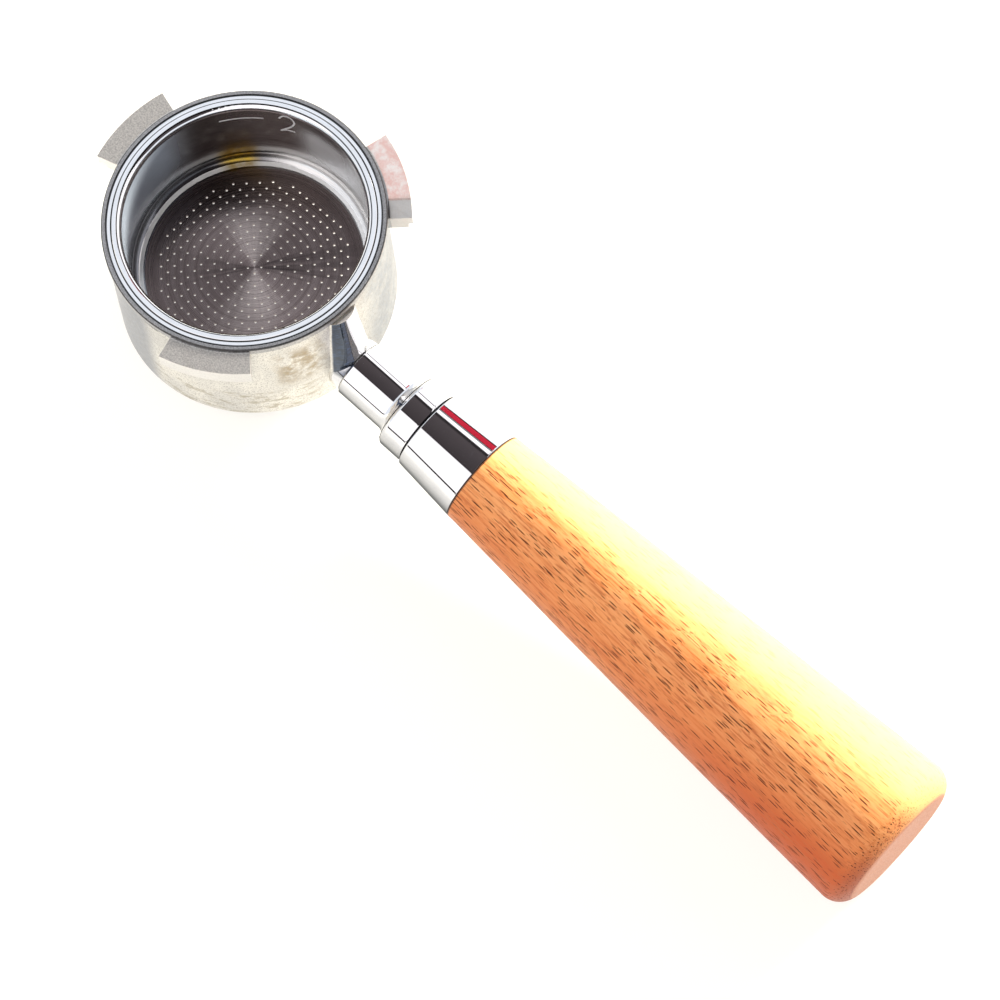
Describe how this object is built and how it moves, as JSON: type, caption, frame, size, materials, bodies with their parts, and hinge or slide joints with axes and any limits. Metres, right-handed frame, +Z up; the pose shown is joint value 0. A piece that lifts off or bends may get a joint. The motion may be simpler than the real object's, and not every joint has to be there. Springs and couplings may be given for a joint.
{
  "type": "portafilter",
  "caption": "Bottomless portafilter: an open metal ring with locking lugs, a lift-out perforated basket on a wire spring, and a turned wooden handle on a chromed neck.",
  "frame": {"origin": "centre of the footprint, at table level, with the part lying on the ring's far base edge and the end of its handle", "axes": "+X from the ring towards the handle's end, +Z up from the table, +Y completes the right-handed frame; the ring's own axis leans 9.27 degrees from +Z towards -X"},
  "size_m": [0.222, 0.068, 0.0424],
  "materials": {
    "ring_metal": "satin blasted wall, turned rim",
    "basket_steel": "polished rim, drawn wall, turned floor",
    "spring_steel": "bright drawn wire",
    "neck_chrome": "polished",
    "collar_chrome": "polished",
    "ferrule_chrome": "polished",
    "beech": "satin oiled beech",
    "stud_steel": "plain",
    "insert_brass": "plain"
  },
  "bodies": {
    "ring_and_handle": {"ring_body": "ring_metal", "neck_sleeve": "neck_chrome", "collar_ring": "collar_chrome", "ferrule": "ferrule_chrome", "wood_handle": "beech", "handle_stud": "stud_steel", "insert_nut": "insert_brass"},
    "spring": {"basket_spring": "spring_steel"},
    "basket": {"filter_basket": "basket_steel"}
  },
  "joints": [
    {"name": "spring_turn", "type": "hinge", "parent": "ring_and_handle", "child": "spring", "pos_m": [-0.07654, 0, 0.03758], "axis": [-0.1611, 0, 0.9869], "continuous": true},
    {"name": "basket_lift", "type": "slide", "parent": "spring", "child": "basket", "axis": [-0.1611, 0, 0.9869], "range_m": [0, 0.035]}
  ]
}
